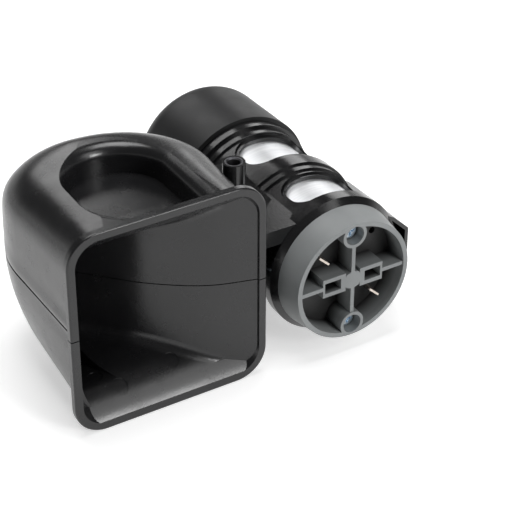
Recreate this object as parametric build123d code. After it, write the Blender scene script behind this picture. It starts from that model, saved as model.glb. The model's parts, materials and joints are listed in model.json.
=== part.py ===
from build123d import *
import math
import os

# Compact electric air horn: a moulded spiral trumpet in two half shells, and beside it a
# caged motor with a vane pump on its rear end. Millimetres, +Z up, mouth towards -Y.
# The pieces are drawn in the horn frame, whose origin is the middle of the mouth, and are
# moved once at the end, so that the origin is the bottom centre of the whole horn.

# ---- trumpet (horn frame: mouth plane y = 0, parting plane z = 0)
mouth_w = 80.0            # over the rim
rim_r = 12.5              # rim corner radius, outside
rim_t = 2.8               # rim depth along Y
lip_w = 3.0               # width of the rim seen from the front
rim_edge_r = 0.7
lead_r = 12.5             # corner radius of the channel just behind the rim
wall = 2.4
half_x = 37.7             # side walls of the trumpet
side_end_y = 48.0         # where the left wall starts to turn
right_end_y = 35.3
back_y = 81.5
apex_x = -10.0            # x of the rearmost point
left_pull = 0.66          # handle lengths of the two turns at the back
right_pull = 0.60
part_gap = 0.2            # half the gap between the shells at the rim
lap_h = 1.8               # height of the lap joint along the seam
groove_h = 0.5            # each shell's share of the groove outside the lap joint
groove_d = 1.3

# Heights over the parting plane of a shell's rim and top, and the roundings of its edge at
# five places, each as (how far the wall draws in, over what height).
upper_form = {
    "rim": 41.5, "top": 40.3, "front": (14.0, 14.5), "corner": (26.6, 17.7),
    "apex": (20.6, 32.4), "right": (18.4, 10.0), "right_front": (14.1, 21.5),
}
lower_form = {
    "rim": 42.8, "top": 41.0, "front": (13.0, 20.0), "corner": (15.7, 41.0),
    "apex": (36.0, 41.0), "right": (18.4, 10.0), "right_front": (14.1, 21.5),
}

# ---- wells in the top and bottom faces
well_left = -21.0
well_right = 17.0
well_back = 53.5
well_turn_y = 36.0        # where the well's back starts to round
well_front = 3.2
well_floor = 29.0
well_lip_r = 5.0
well_bulge = 0.5523       # handle length that makes a curve a quarter ellipse
ramp_r = 27.0             # the well floor climbs to the rim on this radius
ramp_y = 24.0             # where the climb starts
foot_r = 5.0              # rounding between the flare wall and the mouth's floor
ejector_r = 2.9
ejector_depth = 0.35
ejector_at = ((4.4, 10.0), (-18.3, 7.4), (-24.9, 14.5))

# ---- sound channel core, with the diaphragm chamber in it
core_x, core_y = 1.5, 44.0
chamber_r = 15.0
chamber_top = 24.0
plate_high = 12.3         # seats of the two diaphragms
plate_low = -17.3
disc_t = 0.4
clamp_t = 2.0
divider_t = 1.6

# ---- compressor (axis along Y through comp_x, comp_z; lengths from the end cap's rim)
comp_x = 75.3
comp_z = -10.5
cap_front = -5.3
cap_rim_r = 24.9
cap_back_r = 26.4
cap_len = 11.6
cap_floor = 10.0
cap_wall = 1.9
screw_offset = 19.9
boss_r = 5.2
can_r = 24.6
can_t = 1.4
can_front = 14.2
can_back = 77.2
cage_r = 27.0
cage_bore = 24.8
ring_r = 28.6
step_r = 27.8
window_from, window_to = 34.0, 112.0
rear_cap_r = 30.5
rear_cap_front = 82.3
rear_cap_back = 122.3
rear_cap_round = 10.0
spigot_r = 28.1
pump_seat_r = 26.0
plate_front = 77.2        # pump end plate beside the motor
plate_back = 83.5
pump_back = 98.5
pump_lid = 101.5
pump_r = 24.5
pump_bore = 17.0
pump_shift = 2.0          # the bore sits this far off the axis
rotor_r = 14.7
rotor_gap = 0.2
vane_t = 1.9
vane_foot = 5.7
pump_screw_at = 21.2
pump_screw_r = 1.6
shaft_r = 3.0
shaft_end = 98.0
bush_r = 5.5
fit_gap = 0.05            # running clearance of the shaft in its bushes

# ---- motor
armature_r = 17.4
armature_from, armature_to = 32.0, 58.0
slot_count = 8
slot_w = 3.0
slot_foot = 8.0
magnet_in, magnet_out = 18.2, 23.2
magnet_half_angle = 62.0
commutator_r = 5.8
terminal_w, terminal_t = 6.3, 0.8
terminal_at = 16.0
terminal_angles = (137.0, -43.0)

# ---- bridge between trumpet and cage, with the mounting post
bridge_top = 12.5
bridge_low = 6.0
bridge_skin = 2.2
bridge_left = 38.0
bridge_right = 62.0
bridge_front = 8.9
bridge_back = 62.0
post_x, post_y = 43.6, 29.5
post_r = 4.4
post_foot_r = 5.8
post_top = 33.6
flange_bore = 3.2         # clears an M6 bolt
insert_r = 3.5            # the post is bored right through at this radius
insert_len = 10.0
insert_bore = 2.5         # M6 tapping size
flange_low = -5.0
flange_in = 30.0
flange_root = 1.8         # how far the ledges reach into the trumpet's wall
flange_side = 46.2
flange_screws_at = ((41.6, 16.0), (41.6, 54.0))
flange_screw_r = 1.5

# ---- cable channel on the outer side of the cage
channel_front = 13.5
channel_back = 45.0
channel_x = 34.6
channel_z = 5.0

# ---- air duct from pump to trumpet
duct_y = 92.8             # distance of its axis from the end cap's rim
duct_r = 4.6
duct_bore = 3.2
duct_start_x = -20.5      # from the compressor axis
duct_bend_x = 34.0
duct_bend_r = 10.0

parts = {}


# ================================================================== shared helpers
def comp_plane(y):
    """Cross plane of the compressor at this distance from the rim, +X right, +Z up."""
    return Plane((comp_x, cap_front + y, comp_z), x_dir=(1, 0, 0), z_dir=(0, -1, 0))


def along(sketch, y0, y1):
    """Cross-section sketch made solid from y0 to y1 along the compressor axis."""
    return extrude(comp_plane(y1) * sketch, amount=y1 - y0)


def tube(y0, y1, outer, inner=0.0, at=(0.0, 0.0)):
    """Round bar or tube parallel to the compressor axis."""
    ring = Pos(*at) * Circle(outer)
    if inner > 0:
        ring -= Pos(*at) * Circle(inner)
    return along(ring, y0, y1)


def turned(points):
    """Turned piece: a closed outline of (radius, distance) points spun about the axis."""
    spot = Plane((comp_x, cap_front, comp_z), x_dir=(1, 0, 0), z_dir=(0, 0, 1))
    outline = make_face(Polyline(*points, close=True))
    return revolve(spot * outline, Axis((comp_x, 0, comp_z), (0, 1, 0)))


def polar(radius, angle):
    """Point at this radius and angle (degrees) in a cross plane."""
    turn = math.radians(angle)
    return (radius * math.cos(turn), radius * math.sin(turn))


# ================================================================== trumpet shells
def edge_inset(rounding, height, top, skin):
    """How far a wall has drawn in at this height, given its edge rounding and the top."""
    depth = rounding[0] - skin
    reach = rounding[1] - skin
    rise = min(height - (top - skin - reach), reach)
    if rise <= 0:
        return 0.0
    return depth * (1 - math.sqrt(1 - (rise / reach) ** 2))


def trumpet_section(z, form, skin, front_y):
    """Plan outline of the trumpet at height z, moved in by the skin thickness."""
    inset = {place: edge_inset(form[place], z, form["top"], skin)
             for place in ("front", "corner", "apex", "right", "right_front")}
    turn = inset["corner"]
    side = half_x - skin
    apex = back_y - skin - inset["apex"]
    a = Vector(-side + inset["front"], front_y)
    b = Vector(-side + turn, side_end_y - 0.6 * turn)
    c = Vector(apex_x + 0.3 * turn, apex)
    d = Vector(side - inset["right"], right_end_y)
    e = Vector(side - inset["right_front"], front_y)
    left_way = (b - a).normalized()
    right_way = (d - e).normalized()
    edges = [
        Line(a, b),
        Bezier(b, b + left_way * left_pull * (apex - b.Y), c - Vector(left_pull * (c.X - b.X), 0), c),
        Bezier(c, c + Vector(right_pull * (d.X - c.X), 0), d + right_way * right_pull * (apex - d.Y), d),
        Line(d, e),
        Line(e, a),
    ]
    return Pos(0, 0, z) * make_face(edges)


def trumpet_body(form, skin, front_y):
    """Half of the trumpet's rounded form, from the parting plane up."""
    start = part_gap if skin == 0 else 0.0
    high = form["top"] - skin - start
    steps = 11
    heights = [start + high * math.sin(math.radians(90 * k / steps)) for k in range(steps + 1)]
    return loft([trumpet_section(h, form, skin, front_y) for h in heights])


def well_plan(skin=0.0):
    """Outline of the well, a D whose flat side runs along the right arm, let out by the skin."""
    left = well_left - skin
    right = well_right + skin
    back = well_back + skin
    front = well_front - skin
    mid = (left + right) / 2
    rise = well_bulge * (back - well_turn_y)
    reach = well_bulge * (right - mid)
    corner = -0.5 - 0.4 * skin
    edges = [
        Line((corner, front), (right, front)),
        Line((right, front), (right, well_turn_y)),
        Bezier((right, well_turn_y), (right, well_turn_y + rise), (mid + reach, back), (mid, back)),
        Bezier((mid, back), (mid - reach, back), (left, well_turn_y + rise), (left, well_turn_y)),
        Line((left, well_turn_y), (left, 25.0)),
        Bezier((left, 25.0), (left, 14.0 - 0.4 * skin), (-13.0 - 0.7 * skin, 7.0 - 0.8 * skin),
               (corner, front)),
    ]
    return make_face(edges)


def above_floor(skin):
    """Everything above the well floor, which climbs to the rim; lowered by the skin."""
    floor = well_floor - skin
    radius = ramp_r + skin
    start_y = -2.0
    turn = math.degrees(math.asin((ramp_y - start_y) / radius))
    arc = CenterArc((ramp_y, well_floor + ramp_r), radius, -90 - turn, turn)
    high = 90.0
    edges = [
        arc,
        Line(arc @ 1, (90.0, floor)),
        Line((90.0, floor), (90.0, high)),
        Line((90.0, high), (start_y, high)),
        Line((start_y, high), arc @ 0),
    ]
    return extrude(Plane.YZ * make_face(edges), amount=60, both=True)


def well_cut(top):
    """The well with its rounded lip, to be cut from a shell."""
    shaft = extrude(well_plan(), amount=top - 0.05)
    slab = Pos(0, 0, top - 0.05) * extrude(Rectangle(140, 200), amount=8)
    tool = shaft + slab
    lips = [e for e in tool.edges() if abs(e.center().Z - (top - 0.05)) < 0.01
            and abs(e.center().X) < 40 and 3.5 < e.center().Y < 60]
    tool = fillet(lips, well_lip_r)
    return (tool & above_floor(0.0)) - slab_rest(top)


def slab_rest(top):
    """The part of the lip tool that stands above the shell's top face."""
    return Pos(0, 0, top + 0.01) * extrude(Rectangle(160, 220), amount=20)


def flare_curve():
    """Inner face of the flare wall, from the rim's right side round to the left arm."""
    points = [(37.0, 0.8), (20.5, 6.0), (9.0, 12.9), (-1.8, 21.8), (-10.0, 30.5),
              (-17.5, 38.5), (-20.5, 46.0)]
    return Spline(*points, tangents=[(-0.95, 0.3), (0, 1)])


def core_plan():
    """Flare wall and the core behind it, round which the sound channel winds."""
    front = flare_curve()
    ring = chamber_r + wall
    back = Vector(core_x, core_y + ring)
    left = Vector(-20.5, 46.0)
    edges = [
        front,
        Bezier(left, left + Vector(0, 9), back - Vector(12, 0), back),
        CenterArc((core_x, core_y), ring, 90, -90),
        Line((core_x + ring, core_y), (core_x + ring, 9.7)),
        Spline((core_x + ring, 9.7), (21.5, 8.4), (29.9, 5.4), (38.5, 3.0)),
        Line((38.5, 3.0), (37.0, 0.8)),
    ]
    return make_face(edges)


def thick_well():
    """The well with its wall and floor thickness, which the channel keeps clear of."""
    return extrude(well_plan(wall), amount=60) & above_floor(wall)


def mouth_ramp():
    """Ramp that lifts the mouth's floor from wall to wall and runs out along the left arm."""
    climb = CenterArc((ramp_y, well_floor + ramp_r), ramp_r + wall, -152, 33)
    top = climb @ 1
    edges = [
        climb,
        Bezier((top.X, top.Y), (top.X + 5, top.Y - 2.4), (26, 29.6), (47, 38.5)),
        Line((47, 38.5), (47, 70)),
        Line((47, 70), (-4, 70)),
        Line((-4, 70), climb @ 0),
    ]
    slope = extrude(Plane.YZ * make_face(edges), amount=45, both=True)
    behind = Polyline((45, 1.5), (20, 7.5), (-10, 34), (-18.5, 50), (60, 50), close=True)
    return slope - extrude(make_face(behind), amount=80)


def channel_tool():
    """Everything that may be air inside a shell, with a soft foot along the flare wall."""
    tool = extrude(Rectangle(200, 260) - core_plan(), amount=60) - thick_well() - mouth_ramp()
    flare = flare_curve()
    foot = []
    for edge in tool.edges():
        spot = edge @ 0.5
        wide = abs((edge @ 0).X - (edge @ 1).X) > 1
        if wide and spot.X < 37 and flare.distance_to(Vector(spot.X, spot.Y, 0)) < 0.05:
            foot.append(edge)
    foot = [edge for edge in foot if 20 < (edge @ 0.5).Z < 40]
    return fillet(foot, foot_r)


def sound_cavity(form):
    """Air space inside one shell: mouth flare, left arm, back and right arm."""
    return trumpet_body(form, wall, -1.0) & channel_tool()


def over_gap():
    """Space over the gap between the shells, near the mouth."""
    return Pos(0, 0, 50 + part_gap) * Box(120, 40, 100)


def mouth_lead(form):
    """Widening of the channel just behind the rim."""
    inner_w = mouth_w - 2 * lip_w
    inner_h = 2 * (form["rim"] - lip_w)
    wide = Plane.XZ.offset(0.5) * RectangleRounded(inner_w, inner_h, rim_r - lip_w)
    narrow = RectangleRounded(2 * (half_x - wall), 2 * (form["top"] - wall), lead_r)
    lead = loft([wide, Plane.XZ.offset(-4.5) * narrow])
    beside = extrude(core_plan(), amount=100, both=True)
    return ((lead - beside) & over_gap()) - thick_well() - mouth_ramp()


def rim_half(form):
    """Half of the rim plate with its rounded front edge."""
    plate = extrude(Plane.XZ * RectangleRounded(mouth_w, 2 * form["rim"], rim_r), amount=-rim_t)
    front = plate.edges().filter_by(lambda e: abs(e.center().Y) < 0.01)
    return fillet(front, rim_edge_r) & over_gap()


def chamber_spaces():
    """Diaphragm chamber, its throat, and the coring of the solid stretch beside it."""
    chamber = extrude(Pos(core_x, core_y) * Circle(chamber_r), amount=chamber_top)
    throat = Pos(core_x + chamber_r + 1, core_y, 18.0) * Box(6, 8, 8)
    beside = make_face(Polyline((16.3, 12.4), (10.6, 15.1), (4.6, 19.3), (-0.4, 24.0), (-3.4, 27.6),
                                (16.3, 40.0), close=True))
    beside -= Pos(core_x, core_y) * Circle(chamber_r + wall)
    return chamber + throat + extrude(beside, amount=chamber_top)


def lap_ring(skin_out, skin_in, height):
    """Ring that follows the trumpet's wall, open at the rim; used for the lap joint."""
    outer = trumpet_section(0, upper_form, skin_out, 4.0)
    inner = trumpet_section(0, upper_form, skin_in, 0.0)
    return extrude(outer - inner, amount=height)


def side_flange():
    """Flat ledge on the right side that carries the compressor's bridge."""
    ledge = Pos((flange_in + flange_side) / 2, 35.0) * Rectangle(flange_side - flange_in, 46.0)
    ledge -= trumpet_section(0, upper_form, flange_root, 0.0)
    ledge += Pos(post_x, post_y) * Circle(5.0)
    ledge -= Pos(post_x, post_y) * Circle(flange_bore)
    for x, y in flange_screws_at:
        ledge -= Pos(x, y) * Circle(flange_screw_r)
    return ledge


def ejector_marks():
    """Shallow round marks of the mould's ejector pins on the mouth's ramp."""
    pins = extrude(Sketch() + [Pos(x, y) * Circle(ejector_r) for x, y in ejector_at], amount=60)
    return pins - Pos(0, 0, ejector_depth) * (thick_well() + mouth_ramp())


def shell(form):
    """One half shell drawn upwards; the lower one is mirrored afterwards."""
    body = trumpet_body(form, 0.0, 1.0) + rim_half(form)
    body -= well_cut(form["top"])
    body -= sound_cavity(form)
    body -= mouth_lead(form)
    body -= ejector_marks()
    body -= chamber_spaces()
    return body - lap_ring(-1.0, groove_d, groove_h)


def duct_direction():
    """Direction in plan from the chamber centre out to the duct's bend."""
    reach = Vector(duct_bend_x - core_x, cap_front + duct_y - core_y)
    return reach.normalized()


def upper_shell():
    body = shell(upper_form)
    body += Pos(0, 0, part_gap) * extrude(side_flange(), amount=bridge_low - part_gap)
    return body - Pos(0, 0, part_gap - 0.1) * lap_ring(wall / 2 - 0.05, wall + 0.5, lap_h + 0.1)


def lower_shell():
    body = mirror(shell(lower_form), Plane.XY)
    body += Pos(0, 0, -part_gap - 1.0) * lap_ring(wall / 2 + 0.05, wall - 0.2, lap_h + 1.0 + part_gap)
    body += Pos(0, 0, flange_low) * extrude(side_flange(), amount=-flange_low - part_gap)
    way = duct_direction()
    start = Vector(core_x, core_y, comp_z) + way * (chamber_r - 1)
    bore = Plane(start, z_dir=way) * Circle(duct_r)
    return body - extrude(bore, amount=26)


def tone_divider():
    """Plate on the parting plane that keeps the two tones apart until the left arm."""
    plan = trumpet_section(0, upper_form, wall + 0.1, 0.0)
    plate = Pos(0, 0, -divider_t / 2) * extrude(plan, amount=divider_t)
    plate -= Pos(0, 0, -5) * extrude(core_plan(), amount=10)
    back = Pos(0, 75, 0) * Box(100, 50, 10)
    right = Pos(core_x + chamber_r + wall + 20, 31, 0) * Box(40, 38, 10)
    return plate & (back + right)


def disc_at(z0, height, outer, inner=0.0):
    """Disc or ring in the diaphragm chamber."""
    ring = Circle(outer)
    if inner > 0:
        ring -= Circle(inner)
    return Pos(core_x, core_y, z0) * extrude(ring, amount=height)


def build_trumpet():
    parts["horn_shell_upper"] = upper_shell()
    parts["horn_shell_lower"] = lower_shell()
    parts["tone_divider"] = tone_divider()
    for name, seat, way in (("high", plate_high, 1), ("low", plate_low, -1)):
        disc_z = seat if way > 0 else seat - disc_t
        seat_z = seat - clamp_t if way > 0 else seat
        clamp_z = seat + disc_t if way > 0 else seat - disc_t - clamp_t
        parts["diaphragm_" + name] = disc_at(disc_z, disc_t, chamber_r)
        parts["seat_ring_" + name] = disc_at(seat_z, clamp_t, chamber_r, chamber_r - 2.6)
        parts["clamp_ring_" + name] = disc_at(clamp_z, clamp_t, chamber_r, chamber_r - 2.6)


# ================================================================== compressor cage
def window_cut(angle, y0, y1):
    """Rounded window through the cage wall, with a shallow stepped border."""
    span = window_to - window_from
    width = 2 * cage_r * math.sin(math.radians(span / 2))
    length = y1 - y0
    middle = comp_plane((y0 + y1) / 2).location * Rot(0, 0, angle) * Pos(14, 0, 0)
    face = middle * Rot(0, 90, 90)
    opening = extrude(face * RectangleRounded(width, length, 6.5), amount=20)
    border = face * RectangleRounded(width + 3.0, length + 3.0, 7.5)
    rim = extrude(border, amount=20) - tube(y0 - 5, y1 + 5, cage_r - 0.8)
    return opening + rim


def cage_tube():
    """Turned form of the cage: front collar, middle ring, rear ring and cap spigot."""
    outline = [
        (cap_back_r, cap_len), (ring_r, 14.1), (ring_r, 19.0), (step_r, 19.0), (step_r, 20.4),
        (cage_r, 20.4), (cage_r, 40.5), (step_r, 40.5), (step_r, 44.0), (ring_r, 44.0),
        (ring_r, 50.0), (step_r, 50.0), (step_r, 53.0), (cage_r, 53.0), (cage_r, 73.6),
        (step_r, 73.6), (step_r, 77.6), (ring_r + 0.4, 77.6), (ring_r + 0.4, 81.8),
        (spigot_r, 81.8), (spigot_r, 88.0), (pump_seat_r, 88.0), (pump_seat_r, plate_front),
        (cage_bore, plate_front), (cage_bore, can_front), (cap_back_r - 0.3, can_front),
        (cap_back_r - 0.3, cap_len),
    ]
    return turned(outline)


def bridge():
    """Cored plate between cage and trumpet, with the post for the mounting bolt."""
    wide = bridge_right - bridge_left
    long = bridge_back - bridge_front
    high = bridge_top - bridge_low
    middle = ((bridge_left + bridge_right) / 2, (bridge_front + bridge_back) / 2)
    plate = Pos(*middle, bridge_low) * extrude(Rectangle(wide, long), amount=high)
    core = Pos(*middle, bridge_low) * extrude(
        Rectangle(wide - 2 * bridge_skin, long - 2 * bridge_skin), amount=high - bridge_skin)
    plate -= core
    for x, y in flange_screws_at:
        plate += Pos(x, y, bridge_low) * extrude(Circle(3.4), amount=high)
    return plate


def post():
    """Tapered post with ribs, standing on the bridge."""
    foot = Pos(post_x, post_y, bridge_low) * extrude(Circle(post_foot_r), amount=bridge_top - bridge_low)
    cone_h = 12.0
    cone = Pos(post_x, post_y, bridge_top + cone_h / 2) * Cone(post_foot_r, post_r, cone_h)
    shaft = Pos(post_x, post_y, bridge_top) * extrude(Circle(post_r), amount=post_top - bridge_top)
    ribs = make_face(Polyline((post_x, bridge_top - 1), (post_x, 27.0), (post_x + 4.2, 27.0),
                              (post_x + 17.0, bridge_top - 1), close=True))
    rib = extrude(Plane((0, post_y + 0.8, 0), x_dir=(1, 0, 0), z_dir=(0, -1, 0)) * ribs, amount=1.6)
    return foot + cone + shaft + rib


def cable_channel():
    """Hollow rail on the outer side of the cage that leads the cable back."""
    def rail(x, z, base_x, base_z):
        points = [(base_x, base_z), (x, z), (x, -z), (base_x, -base_z)]
        return make_face(Polyline(*points, close=True))
    outer = make_face(Polyline((22.0, 15.0), (27.4, 12.0), (channel_x, channel_z),
                               (channel_x, -channel_z), (27.4, -12.0), (22.0, -15.0), close=True))
    hollow = rail(channel_x - 1.5, channel_z - 0.6, 26.6, 10.8) - Circle(ring_r)
    body = along(outer, channel_front, channel_back)
    return body, along(hollow, channel_front - 1, channel_back + 1)


def cage():
    """Moulded cage that carries motor and pump, with bridge, post and cable channel."""
    rail, rail_hollow = cable_channel()
    hull = tube(cap_len, channel_back + 1, cage_r)
    body = cage_tube() + (bridge() - tube(0, 100, cage_r)) + (post() - tube(0, 100, cage_r))
    body += (rail - hull)
    body -= rail_hollow
    for side in (1, -1):
        middle = side * (window_from + window_to) / 2
        body -= window_cut(middle, 21.8, 37.2)
        body -= window_cut(middle, 55.0, 71.6)
    body -= Pos(post_x, post_y, 20) * Cylinder(insert_r, 60)
    for x, y in flange_screws_at:
        body -= Pos(x, y, bridge_low) * extrude(Circle(flange_screw_r), amount=4.0)
    return body


def post_insert():
    """Threaded insert in the post, with a lead-in chamfer at its upper end."""
    ring = Circle(insert_r) - Circle(insert_bore)
    body = Pos(post_x, post_y, post_top - insert_len) * extrude(ring, amount=insert_len)
    lead_in = [e for e in body.edges().filter_by(GeomType.CIRCLE)
               if abs(e.radius - insert_bore) < 0.01 and abs(e.center().Z - post_top) < 0.01]
    return chamfer(lead_in, 0.5)


def flange_screws():
    """Two screws that clamp both shell flanges to the bridge."""
    screws = []
    for x, y in flange_screws_at:
        shank = Pos(x, y, flange_low) * extrude(Circle(flange_screw_r), amount=bridge_low + 4.0 - flange_low)
        head = Pos(x, y, flange_low - 2.0) * extrude(Circle(3.0), amount=2.0)
        screws.append(shank + head)
    return Compound(screws)


# ================================================================== end cap
def blade_place(angle, size):
    """Sketch of a blade terminal's section, lying along the radius at this angle."""
    return Pos(*polar(terminal_at, angle)) * Rot(0, 0, angle) * Rectangle(*size)


def end_cap():
    """Cup-shaped cap over the motor's front end, with ribs, bosses and socket tubes."""
    inner = cap_rim_r - cap_wall
    plug_r = can_r - can_t
    body = turned([
        (0, cap_floor), (inner - 0.4, cap_floor), (inner, 0), (cap_rim_r, 0),
        (cap_back_r, cap_len), (cap_back_r - 0.4, cap_len), (cap_back_r - 0.4, can_front),
        (plug_r, can_front), (plug_r, 20.0), (plug_r - 2.0, 20.0), (plug_r - 2.0, 12.0),
        (bush_r + 2.5, 12.0), (bush_r + 2.5, 18.0), (bush_r, 18.0), (bush_r, 12.0), (0, 12.0),
    ])
    space = tube(-1, cap_floor + 1, inner - 0.2)
    ribs = Rectangle(1.6, 2 * screw_offset) + Rectangle(2 * inner, 1.6) + RegularPolygon(4.0, 8)
    for side in (1, -1):
        ribs += Pos(side * 8.3, 0) * Rectangle(10.2, 7.9)
    for side in (1, -1):
        ribs -= Pos(side * 8.9, 0) * Rectangle(7.2, 4.5)
    body += along(ribs, 0.5, cap_floor + 0.5) & space
    for side in (1, -1):
        boss = tube(0, 12, boss_r, at=(0, side * screw_offset)) & tube(0, 12, cap_rim_r - 0.3)
        body += boss
    for side in (1, -1):
        body -= tube(-1, 6.2, 3.9, at=(0, side * screw_offset))
        body -= tube(5, 21, 1.9, at=(0, side * screw_offset))
    for angle in terminal_angles:
        body -= along(blade_place(angle, (terminal_w, terminal_t)), cap_floor - 1, 13)
    return body - tube(cap_floor - 1, 13, 1.4, at=(14.6, 12.3))


def terminal(angle):
    """Blade terminal with a rounded nose."""
    blade = along(blade_place(angle, (terminal_w, terminal_t)), 2.6, 17.2)
    nose = [e for e in blade.edges() if abs(e.center().Y - (cap_front + 2.6)) < 0.01]
    nose = sorted(nose, key=lambda e: e.length)[:2]
    return chamfer(nose, 0.3)


def tie_screws():
    """Two long cross-head screws that pull end cap, can and pump plate together."""
    screws = []
    for side in (1, -1):
        at = (0, side * screw_offset)
        head = tube(3.7, 6.2, 3.4, at=at)
        head = fillet(head.edges().sort_by(Axis.Y)[0], 1.0)
        cross = Pos(*at) * (Rectangle(3.8, 0.9) + Rectangle(0.9, 3.8))
        screws.append(head - along(cross, 3.0, 5.0) + tube(6.2, plate_back - 1.5, 1.9, at=at))
    return Compound(screws)


def build_front():
    parts["compressor_cage"] = cage()
    parts["post_insert"] = post_insert()
    parts["flange_screws"] = flange_screws()
    parts["end_cap"] = end_cap()
    parts["terminal_positive"] = terminal(terminal_angles[0])
    parts["terminal_negative"] = terminal(terminal_angles[1])
    parts["tie_screws"] = tie_screws()


# ================================================================== motor
def motor_can():
    """Drawn steel can with a closed rear end and a cup for the rear bush."""
    end = can_back - can_t
    body = turned([
        (can_r, can_front), (can_r, can_back), (bush_r, can_back), (bush_r, end - 4.0),
        (bush_r + can_t, end - 4.0), (bush_r + can_t, end), (can_r - can_t, end),
        (can_r - can_t, can_front),
    ])
    for side in (1, -1):
        body -= tube(end - 1, can_back + 1, 1.9, at=(0, side * screw_offset))
    return body


def magnet(middle):
    """Arc magnet against the inside of the can."""
    ring = Circle(magnet_out) - Circle(magnet_in)
    tip = polar(60, magnet_half_angle)
    wedge = make_face(Polyline((0, 0), tip, (tip[0] + 40, tip[1]), (tip[0] + 40, -tip[1]),
                               (tip[0], -tip[1]), close=True))
    return along(Rot(0, 0, middle) * (ring & wedge), 26.0, 66.0)


def armature():
    """Slotted iron core, and the windings that fill its slots."""
    core = Circle(armature_r) - Circle(shaft_r)
    coils = []
    deep = armature_r - slot_foot
    for k in range(slot_count):
        turn = Rot(0, 0, 360 * k / slot_count)
        core -= turn * Pos(slot_foot + deep / 2 + 0.5, 0) * Rectangle(deep + 1, slot_w)
        coils.append(turn * Pos(slot_foot + deep / 2 - 0.9, 0) * Rectangle(deep - 1.8, slot_w))
    iron = along(core, armature_from, armature_to)
    wire = tube(26.5, armature_from, armature_r - 1.8, slot_foot - 1)
    wire += tube(armature_to, 63.0, armature_r - 1.8, slot_foot - 1)
    for coil in coils:
        wire += along(coil, armature_from - 1, armature_to + 1)
    return iron, wire


def brush_plate():
    """Insulating plate with two boxes that guide the brushes."""
    body = tube(18.2, 19.6, 20.9, bush_r + 2.6)
    for side in (1, -1):
        body -= tube(18.0, 20.0, 2.2, at=(0, side * screw_offset))
    for angle in terminal_angles:
        place = Rot(0, 0, angle)
        body += along(place * Pos(11.6, 0) * Rectangle(7.0, 6.4), 19.6, 25.4)
        body -= along(place * Pos(11.6, 0) * Rectangle(9.0, 4.0), 19.6, 24.4)
    return body


def build_motor():
    parts["motor_can"] = motor_can()
    parts["magnet_right"] = magnet(0)
    parts["magnet_left"] = magnet(180)
    iron, wire = armature()
    parts["armature_core"] = iron
    parts["armature_windings"] = wire
    parts["commutator"] = tube(19.8, 25.6, commutator_r, shaft_r)
    parts["motor_shaft"] = tube(12.4, shaft_end, shaft_r)
    parts["brush_plate"] = brush_plate()
    for name, angle in zip(("positive", "negative"), terminal_angles):
        block = Rot(0, 0, angle) * Pos(9.6, 0) * Rectangle(7.0, 4.0)
        parts["brush_" + name] = along(block, 19.6, 24.4)
    parts["front_bush"] = tube(12.0, 18.0, bush_r, shaft_r + fit_gap)
    parts["rear_bush"] = tube(can_back - can_t - 4.0, can_back, bush_r, shaft_r + fit_gap)


# ================================================================== pump and rear cap
def pump_screw_spots():
    """Places of the pump's three screws in the cross plane."""
    return [polar(pump_screw_at, angle) for angle in (0, 120, 240)]


def pump_front_plate():
    """Plate between motor and pump, seated in the cage."""
    body = tube(plate_front, plate_back, pump_seat_r, shaft_r + 1)
    for spot in pump_screw_spots():
        body -= tube(plate_front + 2, plate_back + 1, pump_screw_r, at=spot)
    for side in (1, -1):
        body -= tube(plate_front - 1, plate_back - 1.5, 1.9, at=(0, side * screw_offset))
    return body


def pump_ring():
    """Pump housing with an off-centre bore and the outlet on its left."""
    body = tube(plate_back, pump_back, pump_r) - tube(plate_back, pump_back, pump_bore, at=(0, pump_shift))
    for spot in pump_screw_spots():
        body -= tube(plate_back, pump_back, pump_screw_r, at=spot)
    outlet = Plane((comp_x, cap_front + duct_y, comp_z), x_dir=(0, 1, 0), z_dir=(-1, 0, 0))
    body -= extrude(outlet * Circle(duct_bore), amount=40)
    body -= extrude(outlet.offset(-duct_start_x) * Circle(duct_r), amount=20)
    return body


def pump_rotor():
    """Slotted rotor that carries the vanes."""
    deep = rotor_r - vane_foot + 0.1
    disc = Circle(rotor_r) - Circle(shaft_r)
    for k in range(4):
        disc -= Rot(0, 0, 45 + 90 * k) * Pos(rotor_r - deep / 2 + 0.5, 0) * Rectangle(deep + 1, vane_t)
    return along(disc, plate_back + rotor_gap, pump_back - rotor_gap)


def vane(k):
    """Carbon vane, drawn back flush with the rotor."""
    middle = (rotor_r + vane_foot - 0.1) / 2
    blade = Rot(0, 0, 45 + 90 * k) * Pos(middle, 0) * Rectangle(rotor_r - vane_foot - 0.1, vane_t)
    return along(blade, plate_back + rotor_gap, pump_back - rotor_gap)


def pump_screws():
    """Three screws through lid and ring into the front plate."""
    screws = []
    for spot in pump_screw_spots():
        shank = tube(plate_front + 2, pump_lid, pump_screw_r, at=spot)
        screws.append(shank + tube(pump_lid, pump_lid + 2.2, 2.9, at=spot))
    return Compound(screws)


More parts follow.
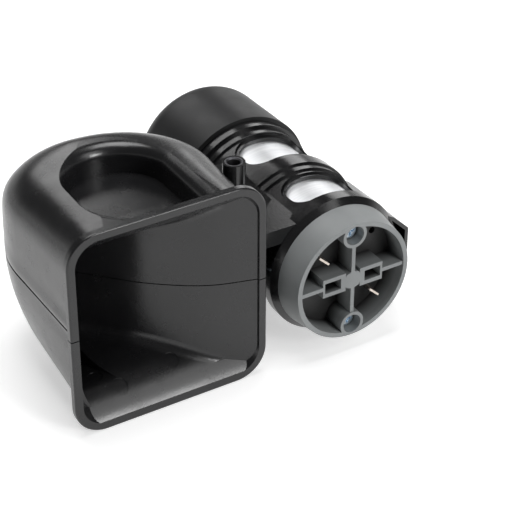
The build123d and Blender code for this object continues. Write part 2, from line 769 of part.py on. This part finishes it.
def rear_cap():
    """Deep cup over the pump, with a rounded back and a notch for the air duct."""
    skin = 2.2
    draft = 0.5
    inner_round = rear_cap_round - skin
    outer_arc = CenterArc((rear_cap_r - draft - rear_cap_round, rear_cap_back - rear_cap_round),
                          rear_cap_round, 0, 90)
    inner_arc = CenterArc((rear_cap_r - draft - rear_cap_round, rear_cap_back - rear_cap_round),
                          inner_round, 90, -90)
    mouth_out = (rear_cap_r, rear_cap_front)
    mouth_in = (rear_cap_r - skin, rear_cap_front)
    edges = [
        Line(mouth_out, outer_arc @ 0), outer_arc, Line(outer_arc @ 1, (0, rear_cap_back)),
        Line((0, rear_cap_back), (0, rear_cap_back - skin)),
        Line((0, rear_cap_back - skin), inner_arc @ 0), inner_arc,
        Line(inner_arc @ 1, mouth_in), Line(mouth_in, mouth_out),
    ]
    spot = Plane((comp_x, cap_front, comp_z), x_dir=(1, 0, 0), z_dir=(0, 0, 1))
    body = revolve(spot * make_face(edges), Axis((comp_x, 0, comp_z), (0, 1, 0)))
    notch = Plane((comp_x, cap_front + duct_y, comp_z), x_dir=(0, 1, 0), z_dir=(-1, 0, 0))
    slot = Circle(duct_r + 1.2) + Pos(-10, 0) * Rectangle(20, 2 * duct_r + 2.4)
    return body - extrude(notch * slot, amount=40)


def air_duct():
    """Bent tube from the pump outlet to the diaphragm chamber."""
    way = duct_direction()
    bend_y = cap_front + duct_y
    end = Vector(core_x, core_y) + way * chamber_r
    path = FilletPolyline((comp_x + duct_start_x, bend_y, comp_z), (duct_bend_x, bend_y, comp_z),
                          (end.X, end.Y, comp_z), radius=duct_bend_r)
    start = Plane(path @ 0, z_dir=path % 0)
    return sweep(start * (Circle(duct_r) - Circle(duct_bore)), path)


def build_pump():
    parts["pump_front_plate"] = pump_front_plate()
    parts["pump_ring"] = pump_ring()
    parts["pump_rotor"] = pump_rotor()
    for k in range(4):
        parts["pump_vane_" + str(k + 1)] = vane(k)
    lid = tube(pump_back, pump_lid, pump_r)
    for spot in pump_screw_spots():
        lid -= tube(pump_back - 1, pump_lid + 1, pump_screw_r, at=spot)
    inlet = SlotArc(CenterArc((0, 0), 15.8, -25, 50), 1.8)
    lid -= along(inlet, pump_back - 1, pump_lid + 1)
    parts["pump_lid"] = lid
    parts["pump_screws"] = pump_screws()
    parts["inlet_filter"] = tube(105.0, 111.0, rear_cap_r - 3.0)
    parts["rear_cap"] = rear_cap()
    parts["air_duct"] = air_duct()


# ================================================================== assembly
def home_shift():
    """Move from the horn frame to the row frame: origin at the bottom centre."""
    left = -mouth_w / 2
    right = comp_x + channel_x
    front = cap_front
    back = cap_front + rear_cap_back
    bottom = -lower_form["rim"]
    return Pos(-(left + right) / 2, -(front + back) / 2, -bottom)


build_trumpet()
build_front()
build_motor()
build_pump()
os.makedirs("parts", exist_ok=True)
for name, solid in parts.items():
    export_step(home_shift() * solid, "parts/" + name + ".step")
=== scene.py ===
"""Looks of a compact electric air horn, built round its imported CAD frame. Metres, +Z up."""
import json
import math

import bpy
from mathutils import Matrix, Vector


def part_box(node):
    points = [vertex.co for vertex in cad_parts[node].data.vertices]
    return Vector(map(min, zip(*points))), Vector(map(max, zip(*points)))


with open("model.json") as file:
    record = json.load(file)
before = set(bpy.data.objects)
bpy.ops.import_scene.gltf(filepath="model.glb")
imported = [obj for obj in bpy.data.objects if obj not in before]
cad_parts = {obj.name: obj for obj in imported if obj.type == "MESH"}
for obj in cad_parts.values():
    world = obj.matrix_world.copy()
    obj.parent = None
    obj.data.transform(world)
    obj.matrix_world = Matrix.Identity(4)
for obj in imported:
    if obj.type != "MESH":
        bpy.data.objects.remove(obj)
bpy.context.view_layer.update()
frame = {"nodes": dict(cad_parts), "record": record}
nodes = frame["nodes"]
MM = 0.001

# The middle of the mouth: the photograph's camera is given from this point.
PARTING_GAP = 0.2 * MM
MOUTH_HALF_WIDTH = 40 * MM
shell_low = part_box("horn_shell_upper")[0]
mouth = Vector((shell_low.x + MOUTH_HALF_WIDTH, shell_low.y, shell_low.z - PARTING_GAP))

# The end cap's axis and face.
cap_low, cap_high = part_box("end_cap")
cap_axis = (cap_low + cap_high) / 2
cap_face = cap_low.y

# Painted shade in the end cap's pockets and its two latch slots: the depths below the cap's face
# between which the painted shade deepens, the radius that bounds the pockets, and the slots' middles
# and half sizes.
PAINTED_SHADE_TOP, PAINTED_SHADE_FULL = 3.5 * MM, 9.7 * MM
SLOT_TOP, SLOT_FULL = 0.3 * MM, 3.0 * MM
PAINTED_SHADE_RADIUS, PAINTED_SHADE_EDGE = 23.4 * MM, 0.2 * MM
LATCH_AT, LATCH_HALF_WIDTH, LATCH_HALF_HEIGHT = 8.9 * MM, 3.6 * MM, 2.3 * MM
# Near-black colour of the painted shade in the pockets and slots.
PAINTED_SHADE_COLOUR = (0.012, 0.012, 0.012, 1.0)


# ------------------------------------------------------------------ node helpers
def material(name):
    """New material with its principled shader; returns material, node tree and shader."""
    mat = bpy.data.materials.new(name)
    mat.use_nodes = True
    tree = mat.node_tree
    return mat, tree, tree.nodes["Principled BSDF"]


def place(tree, stretch=(1.0, 1.0, 1.0)):
    """Object coordinates in metres, stretched along each axis."""
    coords = tree.nodes.new("ShaderNodeTexCoord")
    mapping = tree.nodes.new("ShaderNodeMapping")
    mapping.inputs["Scale"].default_value = stretch
    tree.links.new(coords.outputs["Object"], mapping.inputs["Vector"])
    return mapping.outputs["Vector"]


def noise(tree, scale, detail=3.0, roughness=0.55, stretch=(1.0, 1.0, 1.0)):
    """Noise whose features are about 1 / scale metres wide."""
    node = tree.nodes.new("ShaderNodeTexNoise")
    node.inputs["Scale"].default_value = scale
    node.inputs["Detail"].default_value = detail
    node.inputs["Roughness"].default_value = roughness
    tree.links.new(place(tree, stretch), node.inputs["Vector"])
    return node.outputs["Fac"]


def spread(tree, value, low, high, from_low=0.3, from_high=0.7):
    """The value brought into the range from low to high."""
    node = tree.nodes.new("ShaderNodeMapRange")
    node.inputs["From Min"].default_value = from_low
    node.inputs["From Max"].default_value = from_high
    node.inputs["To Min"].default_value = low
    node.inputs["To Max"].default_value = high
    tree.links.new(value, node.inputs["Value"])
    return node.outputs["Result"]


def joined(tree, operation, first, second):
    """Result of one maths operation on two values; the second may be a plain number."""
    node = tree.nodes.new("ShaderNodeMath")
    node.operation = operation
    tree.links.new(first, node.inputs[0])
    if isinstance(second, float):
        node.inputs[1].default_value = second
    else:
        tree.links.new(second, node.inputs[1])
    return node.outputs["Value"]


def times(tree, first, second):
    """Product of two values."""
    return joined(tree, "MULTIPLY", first, second)


def near(tree, value, middle, reach):
    """1 where the value lies within reach of the middle, else 0."""
    away = joined(tree, "SUBTRACT", value, middle)
    return joined(tree, "LESS_THAN", joined(tree, "ABSOLUTE", away, 0.0), reach)


def two_tone(tree, value, dark, light):
    """Colour between dark and light by the value."""
    node = tree.nodes.new("ShaderNodeMix")
    node.data_type = "RGBA"
    node.inputs["A"].default_value = (*dark, 1.0)
    node.inputs["B"].default_value = (*light, 1.0)
    tree.links.new(value, node.inputs["Factor"])
    return node.outputs["Result"]


def bump(tree, shader, height, distance, strength=1.0):
    """Bump of this height in metres, laid over whatever bump the shader already has."""
    node = tree.nodes.new("ShaderNodeBump")
    node.inputs["Distance"].default_value = distance
    node.inputs["Strength"].default_value = strength
    tree.links.new(height, node.inputs["Height"])
    normal = shader.inputs["Normal"]
    if normal.is_linked:
        tree.links.new(normal.links[0].from_socket, node.inputs["Normal"])
    tree.links.new(node.outputs["Normal"], normal)


# ------------------------------------------------------------------ materials
# Noise scales are in features per metre, depths in metres.
CLOUD_SCALE, SHEEN_SCALE = 45.0, 120.0
SINK_SCALE, SINK_DEPTH = 28.0, 0.00012
PATCH_SCALE, LINE_DEPTH = 90.0, 0.000012


def moulded(name, dark, light, rough_low, rough_high, grain=900.0, grain_height=0.00002, gloss=0.5):
    """Injection-moulded plastic: cloudy colour, uneven sheen, fine grain and shallow sinks."""
    mat, tree, shader = material(name)
    shader.inputs["Specular IOR Level"].default_value = gloss
    cloud = spread(tree, noise(tree, CLOUD_SCALE), 0.0, 1.0)
    tree.links.new(two_tone(tree, cloud, dark, light), shader.inputs["Base Color"])
    sheen = spread(tree, noise(tree, SHEEN_SCALE, 4.0), rough_low, rough_high)
    tree.links.new(sheen, shader.inputs["Roughness"])
    bump(tree, shader, noise(tree, SINK_SCALE, 1.0), SINK_DEPTH)
    bump(tree, shader, noise(tree, grain, 2.0), grain_height)
    return mat


def drawn_metal(name, dark, light, rough_low, rough_high, stretch, grain=700.0):
    """Drawn or turned metal with brushed lines along the narrow axes of the stretch."""
    mat, tree, shader = material(name)
    shader.inputs["Metallic"].default_value = 1.0
    lines = noise(tree, grain, 4.0, 0.6, stretch)
    streaks = two_tone(tree, spread(tree, lines, 0.0, 1.0), dark, light)
    tree.links.new(streaks, shader.inputs["Base Color"])
    patches = spread(tree, noise(tree, PATCH_SCALE, 3.0), rough_low, rough_high)
    tree.links.new(patches, shader.inputs["Roughness"])
    bump(tree, shader, lines, LINE_DEPTH)
    return mat


def paint_pocket_shade(mat):
    """Painted shade, near black, deepening with depth in the end cap's pockets towards their floors and
    in its latch slots.
    """
    tree = mat.node_tree
    shader = tree.nodes["Principled BSDF"]
    split = tree.nodes.new("ShaderNodeSeparateXYZ")
    tree.links.new(place(tree), split.inputs["Vector"])
    aside, depth, height = (split.outputs[axis] for axis in "XYZ")
    # Painted shade: the deeper below the cap's face, the darker the colour.
    painted_shade = spread(tree, depth, 0.0, 1.0, cap_face + PAINTED_SHADE_TOP, cap_face + PAINTED_SHADE_FULL)
    slots = spread(tree, depth, 0.0, 1.0, cap_face + SLOT_TOP, cap_face + SLOT_FULL)
    slots = times(tree, slots, near(tree, height, cap_axis.z, LATCH_HALF_HEIGHT))
    for side in (-1, 1):
        within = near(tree, aside, cap_axis.x + side * LATCH_AT, LATCH_HALF_WIDTH)
        painted_shade = joined(tree, "MAXIMUM", painted_shade, times(tree, slots, within))
    across = tree.nodes.new("ShaderNodeVectorMath")
    across.operation = "DISTANCE"
    tree.links.new(place(tree, (1.0, 0.0, 1.0)), across.inputs[0])
    across.inputs[1].default_value = (cap_axis.x, 0.0, cap_axis.z)
    inside = spread(tree, across.outputs["Value"], 1.0, 0.0, PAINTED_SHADE_RADIUS, PAINTED_SHADE_RADIUS + PAINTED_SHADE_EDGE)
    amount = times(tree, painted_shade, inside)
    # Mix the painted shade into the base colour.
    tint = tree.nodes.new("ShaderNodeMix")
    tint.data_type = "RGBA"
    tint.inputs["B"].default_value = PAINTED_SHADE_COLOUR
    tree.links.new(amount, tint.inputs["Factor"])
    tree.links.new(shader.inputs["Base Color"].links[0].from_socket, tint.inputs["A"])
    tree.links.new(tint.outputs["Result"], shader.inputs["Base Color"])


# How far the noise is drawn out along each axis: a small factor makes long lines.
ALONG_Y = (1.0, 0.05, 1.0)
ROUND_Y = (0.05, 1.0, 0.05)
EVEN = (1.0, 1.0, 1.0)

black = moulded("black_plastic", (0.007, 0.007, 0.0075), (0.011, 0.011, 0.0118), 0.22, 0.29, gloss=0.55)
black_gloss = moulded("black_gloss", (0.005, 0.005, 0.0055), (0.008, 0.008, 0.0085), 0.15, 0.22,
                      gloss=0.6)
black_cap = moulded("black_cap", (0.008, 0.008, 0.0085), (0.013, 0.013, 0.0137), 0.40, 0.48,
                    grain=1500.0, grain_height=0.00003, gloss=0.35)
gray = moulded("gray_plastic", (0.205, 0.215, 0.217), (0.250, 0.262, 0.264), 0.42, 0.52, grain=1300.0)
# Painted shade in the end cap's pockets and latch slots.
paint_pocket_shade(gray)
board = moulded("board", (0.22, 0.13, 0.06), (0.38, 0.24, 0.11), 0.55, 0.7)
carbon = moulded("carbon", (0.03, 0.03, 0.032), (0.055, 0.055, 0.06), 0.45, 0.6)
foam = moulded("filter_foam", (0.03, 0.03, 0.032), (0.09, 0.09, 0.095), 0.8, 0.95, 600.0, 0.0004)
ferrite = moulded("ferrite", (0.045, 0.045, 0.05), (0.07, 0.07, 0.075), 0.5, 0.65)
can_steel = drawn_metal("can_steel", (0.76, 0.77, 0.79), (0.90, 0.91, 0.92), 0.40, 0.50, ROUND_Y)
zinc = drawn_metal("zinc_steel", (0.55, 0.70, 0.84), (0.86, 0.92, 0.97), 0.30, 0.42, EVEN, 500.0)
dark_steel = drawn_metal("dark_steel", (0.10, 0.10, 0.11), (0.17, 0.17, 0.18), 0.34, 0.48, EVEN, 500.0)
blade = drawn_metal("terminal_brass", (0.46, 0.40, 0.35), (0.70, 0.64, 0.58), 0.26, 0.38, ALONG_Y)
copper = drawn_metal("winding_copper", (0.42, 0.15, 0.05), (0.62, 0.27, 0.11), 0.3, 0.42, EVEN, 1200.0)
commutator = drawn_metal("commutator_copper", (0.62, 0.34, 0.2), (0.78, 0.46, 0.3), 0.25, 0.38, ROUND_Y)
bronze = drawn_metal("bronze", (0.40, 0.25, 0.1), (0.55, 0.36, 0.16), 0.4, 0.5, EVEN)
core_steel = drawn_metal("core_steel", (0.26, 0.26, 0.27), (0.36, 0.36, 0.37), 0.4, 0.5, ROUND_Y)
shaft_steel = drawn_metal("shaft_steel", (0.52, 0.52, 0.54), (0.66, 0.66, 0.68), 0.18, 0.28, ROUND_Y)
alloy = drawn_metal("pump_alloy", (0.52, 0.53, 0.54), (0.66, 0.67, 0.68), 0.38, 0.5, EVEN, 400.0)
spring = drawn_metal("spring_steel", (0.55, 0.56, 0.58), (0.68, 0.69, 0.71), 0.22, 0.32, EVEN)

finishes = {
    "black_plastic": black, "gray_plastic": gray, "board": board, "can_steel": can_steel,
    "zinc_steel": zinc, "terminal_brass": blade, "ferrite": ferrite, "core_steel": core_steel,
    "winding_copper": copper, "commutator_copper": commutator, "shaft_steel": shaft_steel,
    "carbon": carbon, "bronze": bronze, "pump_alloy": alloy, "filter_foam": foam,
    "spring_steel": spring,
}
own_finish = {"compressor_cage": black_gloss, "rear_cap": black_cap, "post_insert": dark_steel}

for part in frame["record"]["subparts"]:
    node = nodes[part["node"]]
    finish = own_finish.get(part["node"], finishes[part["material_slot"]])
    node.data.materials.clear()
    node.data.materials.append(finish)


# ------------------------------------------------------------------ floor and light
# For reflections the surroundings are white up to one height over the horizon and dim above
# another (both as the sine of the angle), which gives black gloss its dark bands.
WHITE_BELOW, DIM_ABOVE, DIM_LEVEL = -0.02, 0.26, 0.10
FLOOR_GLOW = 0.5
FLOOR_SIZE = 6.0
PAPER_COLOUR, PAPER_ROUGHNESS = (0.85, 0.85, 0.85, 1.0), 0.9

# Name, place, aim and size in metres, and watts of each lamp. The places were found from the
# horn's reflections: the key makes the sheen on the mouth's floor, the back lamp the one on the
# left of the coil, and the front lamp the one on the far lip of the well.
LAMPS = (
    ("key", (0.34, -0.58, 0.62), (0, 0, 0.04), (0.38, 0.38), 1.1),
    ("top", (0.0, 0.05, 0.75), (0, 0, 0.04), (0.4, 0.4), 3.4),
    ("back", (0.022, 0.44, 0.345), (-0.04, -0.02, 0.08), (0.28, 0.15), 0.43),
    ("right_back", (0.48, 0.45, 0.34), (0, 0, 0.04), (0.25, 0.25), 0.5),
    ("front", (0.43, -1.31, 0.62), (0, 0, 0.06), (0.42, 0.42), 8.5),
)

# The camera looks at a point beside and above the middle of the mouth.
AZIMUTH, ELEVATION, ROLL = math.radians(-31.556), math.radians(33.307), math.radians(-0.198)
DISTANCE, ASIDE, ABOVE = 637.105 * MM, 31.556 * MM, 17.969 * MM
FOCAL_PIXELS, PHOTO_PIXELS, SENSOR_WIDTH = 1779.73, 520, 36.0


def seen_directly(tree):
    """1 for rays that come straight from the camera, else 0."""
    return tree.nodes.new("ShaderNodeLightPath").outputs["Is Camera Ray"]


def background_rays(tree):
    """1 for rays from the camera, off gloss or through glass, else 0."""
    rays = tree.nodes.new("ShaderNodeLightPath")
    total = rays.outputs["Is Camera Ray"]
    for kind in ("Is Glossy Ray", "Is Transmission Ray"):
        total = joined(tree, "MAXIMUM", total, rays.outputs[kind])
    return total


def white_floor():
    """Plain pale floor that keeps the horn's shadow."""
    bpy.ops.mesh.primitive_plane_add(size=FLOOR_SIZE, location=(0, 0, 0))
    floor = bpy.context.object
    floor.name = "floor"
    mat, tree, shader = material("floor_paper")
    shader.inputs["Base Color"].default_value = PAPER_COLOUR
    shader.inputs["Roughness"].default_value = PAPER_ROUGHNESS
    glow = tree.nodes.new("ShaderNodeEmission")
    glow.inputs["Strength"].default_value = FLOOR_GLOW
    both = tree.nodes.new("ShaderNodeAddShader")
    choose = tree.nodes.new("ShaderNodeMixShader")
    out = tree.nodes["Material Output"]
    tree.links.new(shader.outputs["BSDF"], both.inputs[0])
    tree.links.new(glow.outputs["Emission"], both.inputs[1])
    tree.links.new(background_rays(tree), choose.inputs["Fac"])
    tree.links.new(shader.outputs["BSDF"], choose.inputs[1])
    tree.links.new(both.outputs["Shader"], choose.inputs[2])
    tree.links.new(choose.outputs["Shader"], out.inputs["Surface"])
    floor.data.materials.append(mat)


def studio_world():
    """Studio surroundings: white for the camera, white at the horizon and dim above for the rest."""
    world = bpy.data.worlds.new("studio")
    bpy.context.scene.world = world
    world.use_nodes = True
    tree = world.node_tree
    coords = tree.nodes.new("ShaderNodeTexCoord")
    split = tree.nodes.new("ShaderNodeSeparateXYZ")
    fade = tree.nodes.new("ShaderNodeMapRange")
    fade.interpolation_type = "SMOOTHSTEP"
    fade.inputs["From Min"].default_value = WHITE_BELOW
    fade.inputs["From Max"].default_value = DIM_ABOVE
    fade.inputs["To Min"].default_value = 1.0
    fade.inputs["To Max"].default_value = DIM_LEVEL
    tree.links.new(coords.outputs["Generated"], split.inputs["Vector"])
    tree.links.new(split.outputs["Z"], fade.inputs["Value"])
    level = joined(tree, "MAXIMUM", fade.outputs["Result"], seen_directly(tree))
    tree.links.new(level, tree.nodes["Background"].inputs["Color"])


def softbox(name, spot, aim, size, watts):
    """Rectangular area lamp at a spot, turned to its aim."""
    data = bpy.data.lights.new(name, "AREA")
    data.shape = "RECTANGLE"
    data.size, data.size_y = size
    data.energy = watts
    lamp = bpy.data.objects.new(name, data)
    bpy.context.scene.collection.objects.link(lamp)
    lamp.location = spot
    lamp.rotation_euler = (Vector(aim) - Vector(spot)).to_track_quat("-Z", "Y").to_euler()


def photo_camera():
    """Camera at the photograph's angle: down the mouth from the left, long lens."""
    back = Vector((math.sin(AZIMUTH) * math.cos(ELEVATION), -math.cos(AZIMUTH) * math.cos(ELEVATION),
                   math.sin(ELEVATION)))
    level_right = Vector((math.cos(AZIMUTH), math.sin(AZIMUTH), 0.0))
    level_up = back.cross(level_right)
    spot = mouth + level_right * ASIDE + level_up * ABOVE + back * DISTANCE
    right = level_right * math.cos(ROLL) - level_up * math.sin(ROLL)
    up = level_right * math.sin(ROLL) + level_up * math.cos(ROLL)
    data = bpy.data.cameras.new("camera")
    data.sensor_width = SENSOR_WIDTH
    data.lens = FOCAL_PIXELS / PHOTO_PIXELS * SENSOR_WIDTH
    camera = bpy.data.objects.new("camera", data)
    bpy.context.scene.collection.objects.link(camera)
    camera.matrix_world = Matrix((
        (right.x, up.x, back.x, spot.x),
        (right.y, up.y, back.y, spot.y),
        (right.z, up.z, back.z, spot.z),
        (0, 0, 0, 1)))
    bpy.context.scene.camera = camera


white_floor()
studio_world()
for lamp_values in LAMPS:
    softbox(*lamp_values)
photo_camera()
bpy.context.scene.view_settings.view_transform = "Standard"
